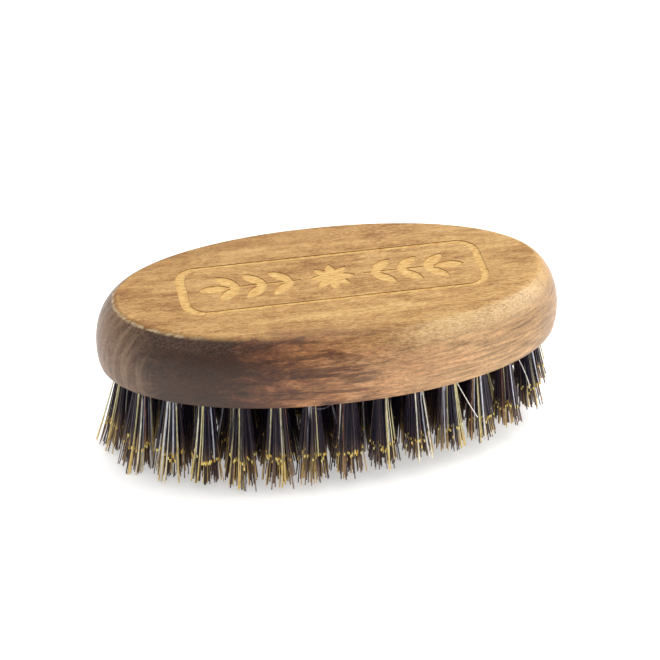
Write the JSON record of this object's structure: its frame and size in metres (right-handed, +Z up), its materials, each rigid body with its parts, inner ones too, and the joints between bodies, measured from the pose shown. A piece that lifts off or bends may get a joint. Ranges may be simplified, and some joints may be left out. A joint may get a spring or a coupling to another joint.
{
  "type": "oval beard brush",
  "caption": "Palm-held oval beard brush: dark-stained wooden block with a rounded shoulder and engraved border, set with rings of splayed natural bristle tufts.",
  "frame": {"origin": "on the surface the brush stands on, at the tips of the bristles, under the centre of the oval handle block", "axes": "+X along the long axis of the oval, +Y across it, +Z up from the bristle tips to the flat engraved top of the handle block"},
  "size_m": [0.117, 0.061, 0.0425],
  "materials": {
    "oiled_wood": "stained and oiled close-grained hardwood, satin",
    "bristle": "natural hair bristle, black and brown mixed with gold and blond, satin",
    "anchor_wire": "flat drawn wire"
  },
  "bodies": {
    "root": {"handle_block": "oiled_wood", "outer_tuft_01": "bristle", "outer_tuft_02": "bristle", "outer_tuft_03": "bristle", "outer_tuft_04": "bristle", "outer_tuft_05": "bristle", "outer_tuft_06": "bristle", "outer_tuft_07": "bristle", "outer_tuft_08": "bristle", "outer_tuft_09": "bristle", "outer_tuft_10": "bristle", "outer_tuft_11": "bristle", "outer_tuft_12": "bristle", "outer_tuft_13": "bristle", "outer_tuft_14": "bristle", "outer_tuft_15": "bristle", "outer_tuft_16": "bristle", "outer_tuft_17": "bristle", "outer_tuft_18": "bristle", "outer_tuft_19": "bristle", "outer_tuft_20": "bristle", "outer_tuft_21": "bristle", "outer_tuft_22": "bristle", "outer_tuft_23": "bristle", "outer_tuft_24": "bristle", "outer_tuft_25": "bristle", "outer_tuft_26": "bristle", "outer_tuft_27": "bristle", "outer_tuft_28": "bristle", "middle_tuft_01": "bristle", "middle_tuft_02": "bristle", "middle_tuft_03": "bristle", "middle_tuft_04": "bristle", "middle_tuft_05": "bristle", "middle_tuft_06": "bristle", "middle_tuft_07": "bristle", "middle_tuft_08": "bristle", "middle_tuft_09": "bristle", "middle_tuft_10": "bristle", "middle_tuft_11": "bristle", "middle_tuft_12": "bristle", "middle_tuft_13": "bristle", "middle_tuft_14": "bristle", "middle_tuft_15": "bristle", "middle_tuft_16": "bristle", "middle_tuft_17": "bristle", "middle_tuft_18": "bristle", "inner_tuft_01": "bristle", "inner_tuft_02": "bristle", "inner_tuft_03": "bristle", "inner_tuft_04": "bristle", "inner_tuft_05": "bristle", "inner_tuft_06": "bristle", "inner_tuft_07": "bristle", "inner_tuft_08": "bristle", "inner_tuft_09": "bristle", "inner_tuft_10": "bristle", "inner_tuft_11": "bristle", "inner_tuft_12": "bristle", "tuft_anchors": "anchor_wire"}
  },
  "joints": []
}
